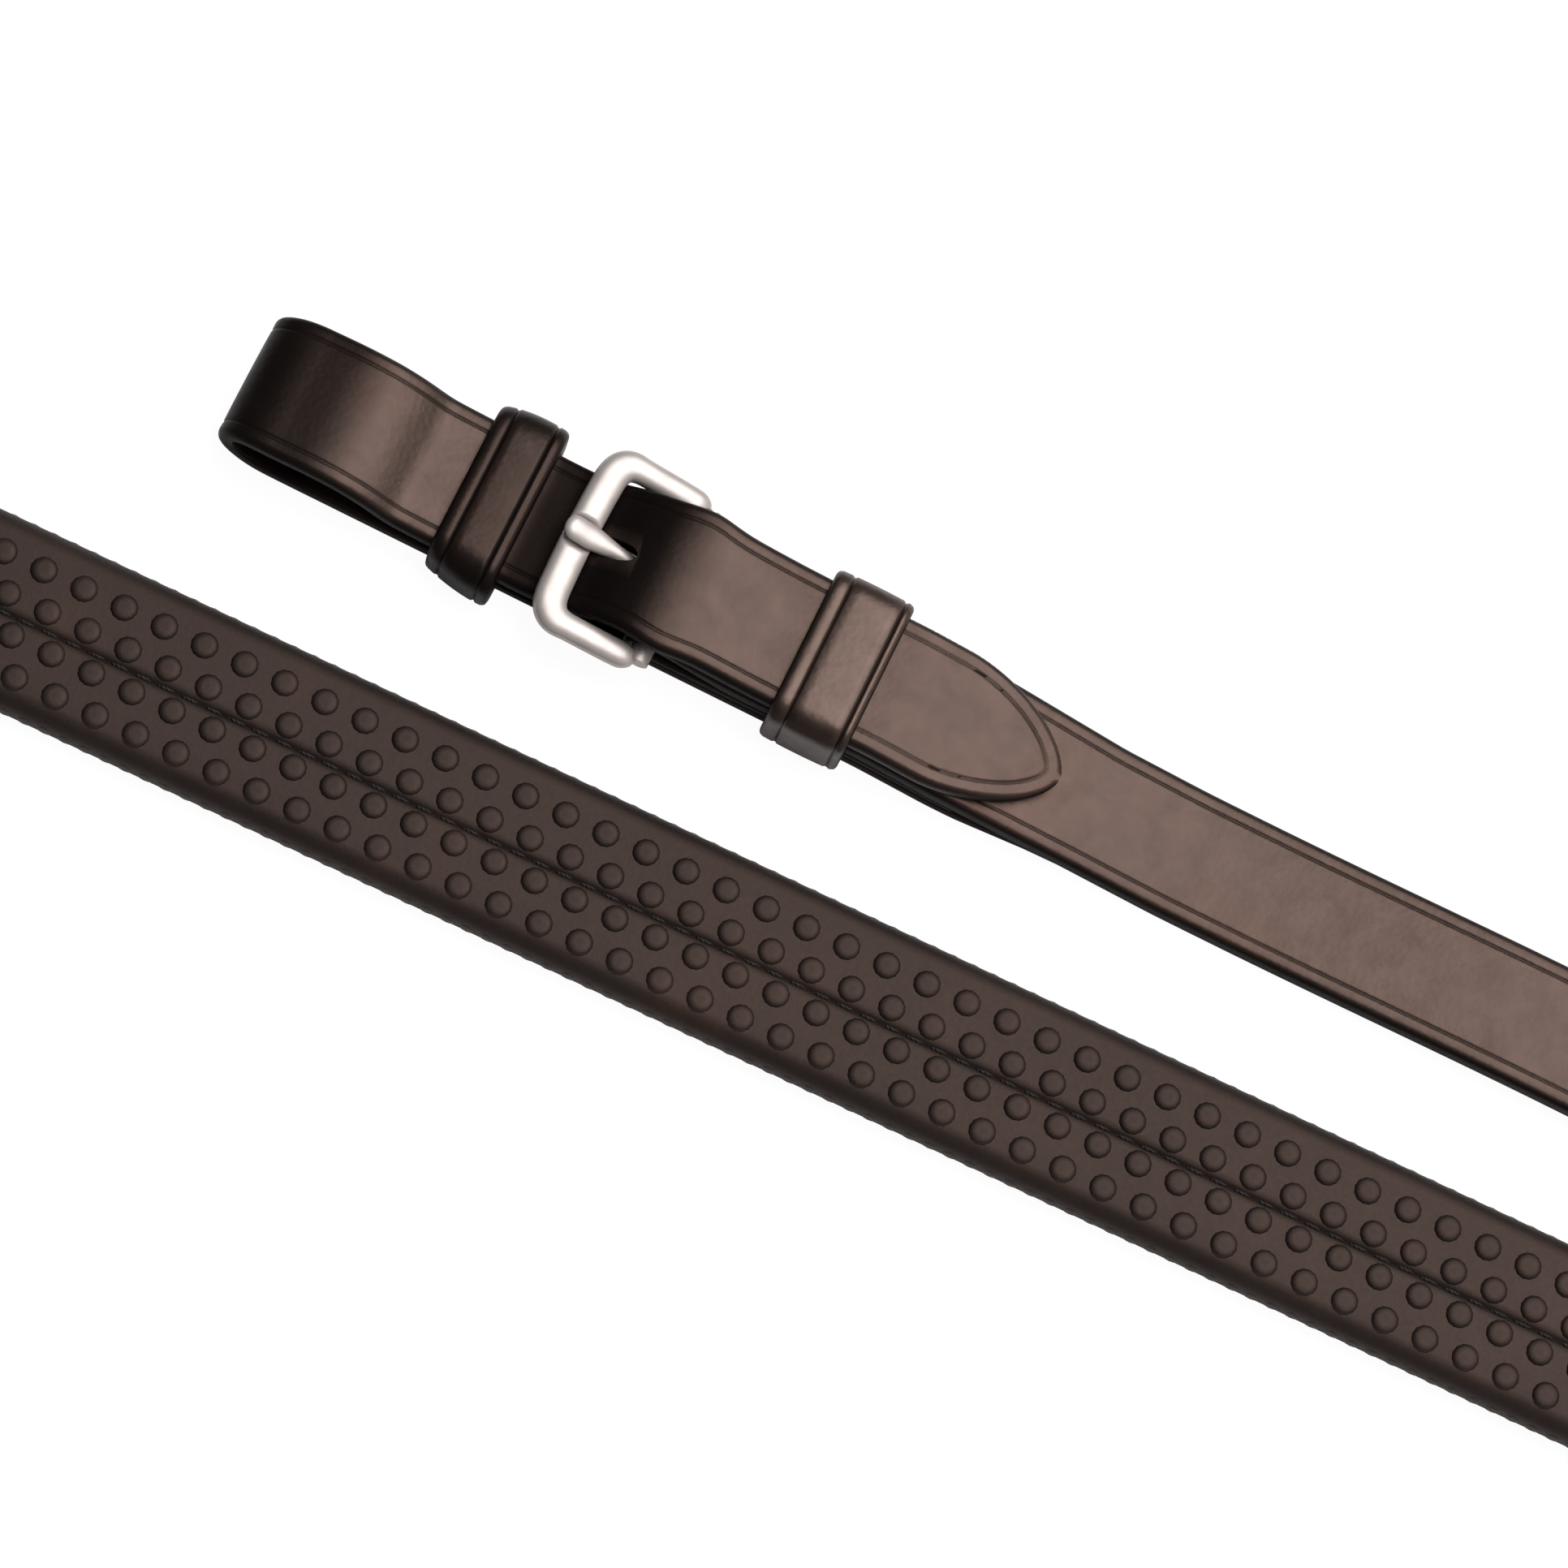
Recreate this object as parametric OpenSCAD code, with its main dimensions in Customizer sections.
// Pair of leather reins with rubber hand grips.
// Two equal reins run from a buckled bit loop, through a rubber grip, to a
// buckle that joins them in the rider's hands.  They lie on a level surface as
// a loose double lap, banked on edge where they turn, as a flat strap does.
// Frame: +Z up, +X along the straight bit end of the left rein towards
// the hand, origin on the resting surface under the left fixed keeper.
// Name endings: _w width, _t thickness, _r radius, _len length, _x and _z place.

/* [Straps] */
// Width of the leather strap
strap_w = 17.2; // [16.8:0.1:17.3]
// Width of the doubled leather at the bit ends
end_w = 18.4; // [17.8:0.1:18.6]
// Thickness of the plain strap
strap_t = 3; // [2.8:0.1:3]
// Thickness of the billet leather that loops round the bit ring
billet_t = 2.3; // [2.1:0.1:2.3]
// Inside radius of the loop that holds the bit ring
loop_r = 4.4; // [4.2:0.1:4.5]

/* [Rubber grips] */
// Outside width of the rubber sleeve
grip_w = 23.4; // [22:0.1:24]
// Outside thickness of the rubber sleeve
grip_t = 6.2; // [6:0.1:6.4]
// Distance from the buckle bar to the start of the sleeve
grip_start = 200; // [190:1:210]
// Length of the sleeve along the rein
grip_len = 745; // [735:1:746]

/* [Buckles] */
// Clear width between the arms of a buckle
window_w = 19; // [18.9:0.1:19.4]
// Width of each side arm
arm_w = 3.6; // [3:0.1:4]
// Thickness of the frame
frame_t = 2.8; // [2.4:0.1:2.8]
// Radius of the hinge bar
bar_r = 1.5; // [1.4:0.05:1.5]
// Radius of the tongue
tongue_r = 1.05; // [0.9:0.05:1.05]

/* [Keepers and stops] */
// Length of the sliding runner next to the loop
runner_len = 9.3; // [8:0.1:9.5]
// Length of the fixed keeper behind the buckle
keeper_len = 10.8; // [9:0.1:11]
// Length of the rein stop
stop_len = 14; // [12:1:14]

/* [Lay] */
// Radius of the left rein's wide turn
turn_a = 130; // [128:1:131]
// Radius of the right rein's wide turn
turn_b = 174; // [173:1:176]
// Bank of the straps in the wide turns, in degrees
bank_wide = 62; // [55:1:65]
// Bank of the straps in the tight turns, in degrees
bank_tight = 50; // [40:1:55]

/* [Hidden] */
$fn = 48;

leather = [0.30, 0.23, 0.20];
dark_leather = [0.17, 0.13, 0.11];
rubber = [0.22, 0.19, 0.17];
nickel = [0.82, 0.82, 0.84];

half_strap = strap_w / 2;
half_end = end_w / 2;
lift = 1.7;                    // height of the bit end, so keepers pass beneath
layer_gap = 0.05;              // between layers of leather
over_gap = 0.08;               // above the wrapped bar and under the billet tip
slot_gap = 0.15;               // beside a strap in its sleeve or stop
overshoot = 1;                 // a cut's reach beyond each face
flex_x = 75;                   // where the bit end flexes
hand_in = 60;                  // straight strap modelled with the centre buckle
hand_out = 30;
keeper_x = 17.4;               // near end of the fixed keeper

// ---- Lay of the two reins ------------------------------------------------
start_x = -(keeper_x + keeper_len / 2);
y_right = -41.4;               // right rein where it re-enters beside the left
drift = 1.3;                   // slow convergence of the two near stretches, degrees
tight_r = 60;                  // radius of the tight turns
left_near = 165;               // straight stretches
left_far = 280;
right_near = 265;
left_share = 150;              // left rein's share of the middle stretch
middle_len = 2 * turn_a - 2 * tight_r - (y_right - (tight_r - tight_r * cos(drift)));
left_wide = PI * turn_a;       // arc lengths of the turns
left_tight = PI / 2 * tight_r;
right_tight = PI / 180 * (90 + drift) * tight_r;
right_wide = PI / 180 * (180 - drift) * turn_b;
rein_len = left_near + left_wide + left_far + left_tight + left_share;
right_last = rein_len - (middle_len - left_share) - right_tight - right_near - right_wide;
total = 2 * rein_len;

// Each stretch: [length, turn in degrees, peak bank, ramp as a share of the length]
STRETCHES = [
    [left_near, 0, 0, 1],
    [left_wide, 180, bank_wide, 0.25],
    [left_far, 0, 0, 1],
    [left_tight, 90, bank_tight, 0.5],
    [middle_len, 0, 0, 1],
    [right_tight, 90 + drift, bank_tight, 0.5],
    [right_near, 0, 0, 1],
    [right_wide, 180 - drift, bank_wide, 0.25],
    [right_last, 0, 0, 1]];

// smooth step from 0 to 1
function ease(share) = let(u = max(0, min(1, share))) u * u * (3 - 2 * u);
// [x, y, heading] moved a distance along a line or an arc
function advance(place, dist, turn) =
    let(x = place[0], y = place[1], heading = place[2])
    turn == 0
    ? [x + dist * cos(heading), y + dist * sin(heading), heading]
    : let(radius = dist / (turn * PI / 180), end = heading + turn)
      [x + radius * (sin(end) - sin(heading)), y - radius * (cos(end) - cos(heading)), end];
function start_place(i) = i == 0 ? [start_x, 0, 0]
    : advance(start_place(i - 1), STRETCHES[i - 1][0], STRETCHES[i - 1][1]);
function start_dist(i) = i == 0 ? 0 : start_dist(i - 1) + STRETCHES[i - 1][0];
PLACES = [for (i = [0:len(STRETCHES) - 1]) start_place(i)];
DISTS = [for (i = [0:len(STRETCHES) - 1]) start_dist(i)];
function stretch_at(dist, i = 0) =
    (i == len(STRETCHES) - 1 || dist < DISTS[i + 1]) ? i : stretch_at(dist, i + 1);
// [x, y, heading, bank] at a distance from the left hinge bar
function lay(dist) =
    let(i = stretch_at(dist), stretch = STRETCHES[i], ramp = stretch[3],
        inside = dist - DISTS[i], share = inside / stretch[0],
        place = advance(PLACES[i], inside, stretch[1] * share))
    [place[0], place[1], place[2],
     stretch[2] * ease(share / ramp) * ease((1 - share) / ramp)];

// The strap rises to the height of the grip before it and sinks after it
grip_end = grip_start + grip_len;
rise_from = 105;
rise_len = 20;
sink_gap = 4;
sink_len = 26;
// 0 on plain strap, 1 where the strap rides at the height of the grip
function on_grip(dist) =
    let(from_bar = min(dist, total - dist))
    ease((from_bar - rise_from) / rise_len)
    * (1 - ease((from_bar - grip_end - sink_gap) / sink_len));
function middle_z(dist, bank) =
    let(share = on_grip(dist))
    (half_strap + (grip_w / 2 - half_strap) * share) * sin(bank)
    + (strap_t / 2 + (grip_t - strap_t) / 2 * share) * cos(bank);
// a section point [across, up] at a distance, carried to the common frame
function put(dist, point) =
    let(place = lay(dist), heading = place[2], bank = place[3],
        side = point[0] * cos(bank) - point[1] * sin(bank))
    [place[0] - sin(heading) * side,
     place[1] + cos(heading) * side,
     middle_z(dist, bank) + point[0] * sin(bank) + point[1] * cos(bank)];

// ---- Stations along the path, closer in the turns -------------------------
left_from = flex_x + strap_t / 2 + layer_gap;
left_to = rein_len - hand_in;
right_from = rein_len + hand_out;
right_to = total - left_from;
// distances from a rein's own hinge bar where its height changes
marks = concat([for (step = [0:5:rise_len]) rise_from + step],
               [grip_start, grip_end],
               [for (step = [10, 17, 24, 30]) grip_end + step]);
min_step = 0.6;
function turn_stations(i, steps, from, to) =
    [for (k = [0:steps])
        let(dist = DISTS[i] + STRETCHES[i][0] * k / steps)
        if (dist > from + 2 && dist < to - 2) dist];
function spaced(list) =
    [for (i = [0:len(list) - 1]) if (i == 0 || list[i] - list[i - 1] > min_step) list[i]];
function sorted(list) = len(list) <= 1 ? list
    : let(pivot = list[floor(len(list) / 2)])
      concat(sorted([for (v = list) if (v < pivot) v]), [pivot],
             sorted([for (v = list) if (v > pivot) v]));
left_stations = spaced(sorted(concat([left_from, left_to], marks,
    turn_stations(1, 26, left_from, left_to), turn_stations(3, 12, left_from, left_to))));
right_stations = spaced(sorted(concat([right_from, right_to], [for (m = marks) total - m],
    turn_stations(5, 12, right_from, right_to), turn_stations(7, 28, right_from, right_to))));

// ---- Sweeps --------------------------------------------------------------
function rings(stations, section) = [for (s = stations) for (point = section) put(s, point)];
function flipped(faces) = [for (f = faces) [f[0], f[2], f[1]]];
// faces joining rings of count points, the first ring at index first
function wall(ring_count, count, first = 0) =
    [for (i = [0:ring_count - 2]) for (j = [0:count - 1])
        let(a = first + i * count + j, b = first + i * count + (j + 1) % count)
        each [[a, a + count, b + count], [a, b + count, b]]];
function fan(first, count) = [for (j = [1:count - 2]) [first, first + j, first + j + 1]];
// end of a tube between an inner ring and an outer ring of twice as many points
function ring_cap(inner, outer, count) =
    [for (j = [0:count - 1])
        let(p = inner + j, q = inner + (j + 1) % count,
            a = outer + 2 * j, b = a + 1, c = outer + (2 * j + 2) % (2 * count))
        each [[p, a, b], [p, b, c], [p, c, q]]];

module sweep(stations, section) {
    count = len(section);
    last = (len(stations) - 1) * count;
    polyhedron(rings(stations, section),
        concat(wall(len(stations), count), fan(0, count), flipped(fan(last, count))));
}
// outer section with two points per corner, inner with one
module tube(stations, outer, inner) {
    ring_count = len(stations);
    count = len(inner);
    inner_first = ring_count * 2 * count;
    last = ring_count - 1;
    polyhedron(concat(rings(stations, outer), rings(stations, inner)),
        concat(wall(ring_count, 2 * count),
               flipped(wall(ring_count, count, inner_first)),
               ring_cap(inner_first, 0, count),
               flipped(ring_cap(inner_first + last * count, last * 2 * count, count))));
}
function box_section(x, z) = [[-x, -z], [x, -z], [x, z], [-x, z]];
function chamfered_section(x, z, c) =
    [[-x, -z + c], [-x + c, -z], [x - c, -z], [x, -z + c],
     [x, z - c], [x - c, z], [-x + c, z], [-x, z - c]];
module plain_strap(stations) { sweep(stations, box_section(half_strap, strap_t / 2)); }
module grip(stations, from, to) {
    tube([for (s = stations) if (s > from - 0.1 && s < to + 0.1) s],
         chamfered_section(grip_w / 2, grip_t / 2, 1.5),
         box_section(half_strap + slot_gap, strap_t / 2 + slot_gap));
}

// ---- Shared shapes -------------------------------------------------------
// a side view [x, z] given a width, centred on y = 0
module across(width) {
    translate([0, width / 2, 0]) rotate([90, 0, 0]) linear_extrude(height = width) children();
}
// an end view [y, z] given a length from x
module along(x, length) {
    translate([x, 0, 0]) rotate([90, 0, 90]) linear_extrude(height = length) children();
}
module rod(x, z, radius, width) {
    translate([x, 0, z]) rotate([90, 0, 0]) cylinder(h = width, r = radius, center = true);
}
function unit(v) = v / norm(v);
function direction(p, q) = unit([q[0] - p[0], q[1] - p[1]]);
// mitred normal of a line at point i
function normal(line, i) =
    let(last = len(line) - 1,
        before = i > 0 ? direction(line[i - 1], line[i]) : direction(line[0], line[1]),
        after = i < last ? direction(line[i], line[i + 1]) : before,
        tangent = unit(before + after), mitre = [-tangent[1], tangent[0]])
    mitre / (mitre * [-before[1], before[0]]);
function offset_point(line, i, side) =
    [line[i][0], line[i][1]] + side * normal(line, i) * line[i][2] / 2;
// closed outline of a strip about a middle line of [x, z, thickness] points
function strip(line) = concat(
    [for (i = [0:len(line) - 1]) offset_point(line, i, 1)],
    [for (i = [len(line) - 1:-1:0]) offset_point(line, i, -1)]);
// rounded rectangle between two corners
module plate(x0, y0, x1, y1, corner) {
    translate([x0 + corner, y0]) square([x1 - x0 - 2 * corner, y1 - y0]);
    translate([x0, y0 + corner]) square([x1 - x0, y1 - y0 - 2 * corner]);
    for (x = [x0 + corner, x1 - corner])
        for (y = [y0 + corner, y1 - corner])
            translate([x, y]) circle(r = corner);
}
// Gaps inside a keeper: [each side, below, above]
fixed_gap = [0.1, 0, 0.1];
sliding_gap = [0.2, 0.1, 0.15];
// a band round a stack of straps, resting on z = 0
module keeper(x, length, half_w, overhang, top, stack_top, gap) {
    outer = half_w + overhang;
    inner = half_w + gap[0];
    bottom = lift - gap[1];
    along(x, length) difference() {
        plate(-outer, 0, outer, top, 2);
        translate([-inner, bottom]) square([2 * inner, stack_top + gap[2] - bottom]);
    }
}
// a strap end cut to its pointed plan
module pointed(from, shoulder, tip, half_w) {
    nose_len = 1.4;
    nose_half = 1.6;
    intersection() {
        children();
        linear_extrude(height = 30) polygon([
            [from, -half_w], [shoulder, -half_w], [tip - nose_len, -nose_half], [tip, 0],
            [tip - nose_len, nose_half], [shoulder, half_w], [from, half_w]]);
    }
}

// ---- Buckle, hinge bar along Y over x = 0, front bar towards -X ------------
run = 0.05;                    // running clearance of a bar in its hole
wrap_t = 1.4;                  // chape leather round the hinge bar
wrap_r = bar_r + run + wrap_t;
eye_r = 2.7;                   // outside radius of the tongue's eye
eye_w = 3;
front_x = 13.36;               // hinge bar to middle of the front bar
front_w = 4.5;                 // width of the front bar
arm_back = 2.5;                // arms behind the hinge bar
bar_bite = 1;                  // hinge bar's reach into each arm
tongue_foot = [-2.2, -0.3];    // start of the tongue's middle line, [x, z]
tongue_rise = 9.1;             // its slope in the buckle's own plane
tongue_len = 14.1;

module at_bar(z, tilt) { translate([0, 0, z]) rotate([0, tilt, 0]) children(); }
// puts +Z along the tongue
module at_tongue() {
    translate([tongue_foot[0], 0, tongue_foot[1]]) rotate([0, -90 + tongue_rise, 0]) children();
}
module buckle(z, tilt) {
    half_frame = window_w / 2 + arm_w;
    groove = [8.5, 16];        // span along the tongue that rests in the front bar
    at_bar(z, tilt) {
        difference() {
            translate([0, 0, -frame_t / 2]) linear_extrude(height = frame_t) difference() {
                plate(-front_x - front_w / 2, -half_frame, arm_back, half_frame, 2.4);
                translate([-front_x + front_w / 2, -window_w / 2]) square([30, window_w]);
            }
            at_tongue() translate([0, 0, groove[0]])
                cylinder(h = groove[1] - groove[0], r = tongue_r + 0.1);
        }
        rod(0, 0, bar_r, window_w + 2 * bar_bite);
    }
}
module tongue(z, tilt) {
    at_bar(z, tilt) difference() {
        union() {
            rod(0, 0, eye_r, eye_w);
            at_tongue() cylinder(h = tongue_len, r = tongue_r);
            at_tongue() translate([0, 0, tongue_len]) sphere(r = tongue_r);
        }
        rod(0, 0, bar_r + run, 2 * eye_w);
    }
}
// [x, z] at a distance along the tongue and a depth below its middle line
function beside_tongue(dist, depth) =
    tongue_foot + [-dist * cos(tongue_rise) - depth * sin(tongue_rise),
                   dist * sin(tongue_rise) - depth * cos(tongue_rise)];
function turned(point, angle) =
    [point[0] * cos(angle) + point[1] * sin(angle), point[1] * cos(angle) - point[0] * sin(angle)];
// passage a tongue needs through a strap, over its whole swing
module tongue_hole(z, tilt) {
    radius = tongue_r + 0.2;
    near = 0.6;
    far = 15;
    swing = 13;
    // corners: [along the tongue, depth below it, swing]
    corners = [[near, radius, 0], [far, radius, 0], [far, -radius, swing], [near, -radius, swing]];
    translate([0, 0, z]) across(2 * radius)
        polygon([for (c = corners) turned(beside_tongue(c[0], c[1]), tilt + c[2])]);
}
// hole for the hinge bar and slot for the tongue's eye
module chape_cut(z) {
    slot_w = 4;
    rod(0, z, bar_r + run, 40);
    translate([-3.3, -slot_w / 2, z - 3.6]) cube([6.9, slot_w, 8]);
}

// ---- Bit end, in its own frame: hinge bar over x = 0, loop towards -X ------
tilt_bit = 8.8;                // rise of a bit-end buckle towards its front bar
lower_top = lift + billet_t;   // top of the billet's lower layer
bar_z = lower_top + layer_gap + wrap_r;
chape_x = 12;                  // where the leather over the bar comes level
level_x = 30;                  // end of the level doubled leather
slope_x = 44;                  // where its underside meets the surface
tail_x = 62;                   // end of the billet's lower layer
main_top = 8.3;                // top of the bit-end strap up to level_x
slope_top = 6.4;               // and at slope_x
bend_x = -53.2;                // centre of the loop
bend_z = lift + billet_t + loop_r;
loop_slope = 24;               // slope of the loop's upper side
upper_z = lower_top + 0.2 + billet_t / 2;    // middle of the upper layer by the runner
slope_z = upper_z + 0.9;       // middle of the upper side where it enters the runner
over_z = bar_z + wrap_r + over_gap + billet_t / 2;
lay_z = main_top + layer_gap + billet_t / 2;
tip_x = 31.2;                  // where the free end of the billet flexes

function loop_point(radius, angle) = [bend_x + radius * cos(angle), bend_z + radius * sin(angle)];
loop_start = loop_point(loop_r + billet_t / 2, 90 - loop_slope);
loop_foot = loop_start[0] + (loop_start[1] - slope_z) / tan(loop_slope);

// plan of the bit-end leather where it narrows to the plain strap
module narrowing() {
    wide = half_end + 0.9;
    translate([0, 0, -10]) linear_extrude(height = 50) polygon([
        [-80, -wide], [10, -wide], [60, -half_strap], [85, -half_strap],
        [85, half_strap], [60, half_strap], [10, wide], [-80, wide]]);
}
// side view [x, z]: underside, then top back to the hinge bar
bit_strap_side = [
    [0, lower_top + layer_gap], [level_x, lower_top + layer_gap], [slope_x, 2.55],
    [tail_x, 0.9], [63, 0], [flex_x, 0],
    [flex_x, strap_t], [70, strap_t + 0.1], [60, 3.9], [slope_x, slope_top],
    [level_x, main_top], [chape_x, main_top], [0, bar_z + wrap_r]];
module bit_end_strap() {
    difference() {
        intersection() {
            narrowing();
            across(end_w) union() {
                polygon(bit_strap_side);
                translate([0, bar_z]) circle(r = wrap_r);
                translate([flex_x, strap_t / 2]) circle(r = strap_t / 2);
            }
        }
        chape_cut(bar_z);
    }
}
// middle line [x, z, thickness] of the billet's upper side, from the loop over the bar
upper_line = [
    [loop_start[0] + cos(loop_slope), loop_start[1] - sin(loop_slope), billet_t],
    [loop_foot, slope_z, billet_t],
    [-17, upper_z, billet_t],
    [-10, upper_z + 0.5, billet_t],
    [-4.4, over_z - 0.7, billet_t],
    [0, over_z, billet_t],
    [chape_x, lay_z + 0.02, billet_t],
    [level_x, lay_z, billet_t]];
upper_edge = strip(upper_line);
// flat underside, round end, sloping upper side
module billet_loop() {
    inner_r = loop_r - 0.1;    // the ring's hole trims this back to loop_r
    arc_steps = 30;
    difference() {
        intersection() {
            narrowing();
            across(end_w) polygon(concat(
                [[tail_x, 0.85], [tail_x, 0], [slope_x, 0], [level_x, lift]],
                [for (k = [0:arc_steps])
                    loop_point(loop_r + billet_t, 270 - (180 + loop_slope) * k / arc_steps)],
                [for (k = [1:len(upper_edge) - 2]) upper_edge[k]],
                [loop_point(inner_r, 90 - loop_slope), loop_point(inner_r, 270),
                 [bend_x + 6, lower_top], [level_x, lower_top], [slope_x, 2.5]]));
        }
        rod(bend_x, bend_z, loop_r, end_w + 2 * overshoot);
        tongue_hole(bar_z, tilt_bit);
    }
}
module billet_tip() {
    end_x = 53.7;
    rod(tip_x, lay_z, billet_t / 2 - 0.02, end_w);
    pointed(from = tip_x - 3, shoulder = 41, tip = end_x, half_w = half_end)
        across(end_w) polygon(strip([
            [tip_x, lay_z, billet_t],
            [45.3, slope_top + over_gap + billet_t / 2, billet_t],
            [end_x, 4.95 + 0.2 + billet_t / 2, billet_t * 0.8]]));
}
module runner() {
    keeper(x = -29.6, length = runner_len, half_w = half_end, overhang = 2.9, top = 9.3,
           stack_top = slope_z + billet_t / 2, gap = sliding_gap);
}
module fixed_keeper() {
    keeper(x = keeper_x, length = keeper_len, half_w = half_end, overhang = 2.3, top = 12.4,
           stack_top = lay_z + billet_t / 2, gap = fixed_gap);
}
// a block with a wider, taller middle, round the strap at grip height
module rein_stop() {
    stop_x = 150 - stop_len / 2;
    slot_rise = 0.1;           // clearance above and below the strap
    // steps: [inset from each end, overhang, top, corner radius]
    steps = [[0, 2.4, grip_t + 0.1, 2], [4, 5, grip_t + 2.2, 3.4]];
    difference() {
        union() {
            for (step = steps) {
                half_w = half_strap + step[1];
                along(stop_x + step[0], stop_len - 2 * step[0])
                    plate(-half_w, 0.05, half_w, step[2], step[3]);
            }
        }
        translate([stop_x - overshoot, -half_strap - slot_gap, (grip_t - strap_t) / 2 - slot_rise])
            cube([stop_len + 2 * overshoot, strap_w + 2 * slot_gap, strap_t + 2 * slot_rise]);
    }
}

// ---- Centre join, in its own frame: +X towards the left rein --------------
tilt_hand = 5.2;               // rise of the centre buckle towards its front bar
hand_bar_z = lift + wrap_r;
hand_top = lift + 4.05;        // top of the left rein's doubled end
hand_t = 2.4;                  // thickness of the right rein's thinned end
hand_z = hand_top + layer_gap + hand_t / 2;
hand_over = hand_bar_z + wrap_r + over_gap + hand_t / 2;
hand_tip_x = 39.7;             // where its free end flexes
hand_level_x = 42;             // end of the level doubled leather

// end of the left rein, wrapped round the hinge bar
module hand_chape() {
    difference() {
        across(strap_w) union() {
            polygon([[0, lift], [hand_level_x, lift], [56, 0], [hand_in, 0],
                     [hand_in, strap_t], [57, strap_t], [hand_level_x, hand_top],
                     [chape_x, hand_top], [0, hand_bar_z + wrap_r]]);
            translate([0, hand_bar_z]) circle(r = wrap_r);
        }
        chape_cut(hand_bar_z);
    }
}
// end of the right rein, passing over the hinge bar
module hand_billet() {
    difference() {
        across(strap_w) polygon(strip([
            [-hand_out, strap_t / 2, strap_t],
            [-22, hand_t / 2 + 0.1, hand_t],
            [-17, hand_t / 2, hand_t],
            [-10.2, 2.9, hand_t],
            [-3.4, hand_over - 0.45, hand_t],
            [0, hand_over, hand_t],
            [chape_x, hand_z + 0.03, hand_t],
            [hand_tip_x - hand_t / 2 - layer_gap, hand_z, hand_t]]));
        tongue_hole(hand_bar_z, tilt_hand);
    }
}
module hand_tip() {
    end_x = 62;
    rest_z = strap_t + 0.12 + hand_t / 2;
    rod(hand_tip_x, hand_z, hand_t / 2 - 0.02, strap_w);
    pointed(from = hand_tip_x - 3, shoulder = 50, tip = end_x, half_w = half_strap)
        across(strap_w) polygon(strip([
            [hand_tip_x, hand_z, hand_t], [43, hand_z, hand_t],
            [57.5, rest_z, hand_t], [end_x, rest_z, hand_t]]));
}
module hand_band(x, length, overhang, gap) {
    keeper(x = x, length = length, half_w = half_strap, overhang = overhang, top = 9.9,
           stack_top = hand_z + hand_t / 2, gap = gap);
}

// ---- Places --------------------------------------------------------------
module facing_back(dist) {
    place = lay(dist);
    translate([place[0], place[1], 0]) rotate([0, 0, place[2] - 180]) children();
}
module left() { translate([start_x, 0, 0]) children(); }
module right() { facing_back(total) children(); }
module middle() { facing_back(rein_len) children(); }

// ---- Nodes ---------------------------------------------------------------
module left_rein_strap() {
    color(leather) union() {
        plain_strap(left_stations);
        middle() hand_chape();
    }
}
module left_bit_end_strap() { color(leather) left() bit_end_strap(); }
module left_billet() { color(leather) left() billet_loop(); }
module left_billet_tip() { color(leather) left() union() { billet_tip(); } }
module left_buckle_frame() { color(nickel) left() buckle(bar_z, tilt_bit); }
module left_buckle_tongue() { color(nickel) left() tongue(bar_z, tilt_bit); }
module left_runner_keeper() { color(dark_leather) left() runner(); }
module left_fixed_keeper() { color(dark_leather) left() fixed_keeper(); }
module left_rubber_grip() { color(rubber) grip(left_stations, grip_start, grip_end); }
module left_rein_stop() { color(dark_leather) left() rein_stop(); }

module right_rein_strap() {
    color(leather) union() {
        plain_strap(right_stations);
        middle() hand_billet();
    }
}
module right_bit_end_strap() { color(leather) right() bit_end_strap(); }
module right_billet() { color(leather) right() billet_loop(); }
module right_billet_tip() { color(leather) right() union() { billet_tip(); } }
module right_buckle_frame() { color(nickel) right() buckle(bar_z, tilt_bit); }
module right_buckle_tongue() { color(nickel) right() tongue(bar_z, tilt_bit); }
module right_runner_keeper() { color(dark_leather) right() runner(); }
module right_fixed_keeper() { color(dark_leather) right() fixed_keeper(); }
module right_rubber_grip() {
    color(rubber) grip(right_stations, total - grip_end, total - grip_start);
}
module right_rein_stop() { color(dark_leather) right() rein_stop(); }

module centre_buckle_frame() { color(nickel) middle() buckle(hand_bar_z, tilt_hand); }
module centre_buckle_tongue() { color(nickel) middle() tongue(hand_bar_z, tilt_hand); }
module centre_fixed_keeper() { color(dark_leather) middle() hand_band(13.5, 10, 2.3, fixed_gap); }
module centre_runner_keeper() { color(dark_leather) middle() hand_band(28, 9, 2.5, sliding_gap); }
module centre_strap_tip() { color(leather) middle() union() { hand_tip(); } }

left_rein_strap();
left_bit_end_strap();
left_billet();
left_billet_tip();
left_buckle_frame();
left_buckle_tongue();
left_runner_keeper();
left_fixed_keeper();
left_rubber_grip();
left_rein_stop();
right_rein_strap();
right_bit_end_strap();
right_billet();
right_billet_tip();
right_buckle_frame();
right_buckle_tongue();
right_runner_keeper();
right_fixed_keeper();
right_rubber_grip();
right_rein_stop();
centre_buckle_frame();
centre_buckle_tongue();
centre_fixed_keeper();
centre_runner_keeper();
centre_strap_tip();
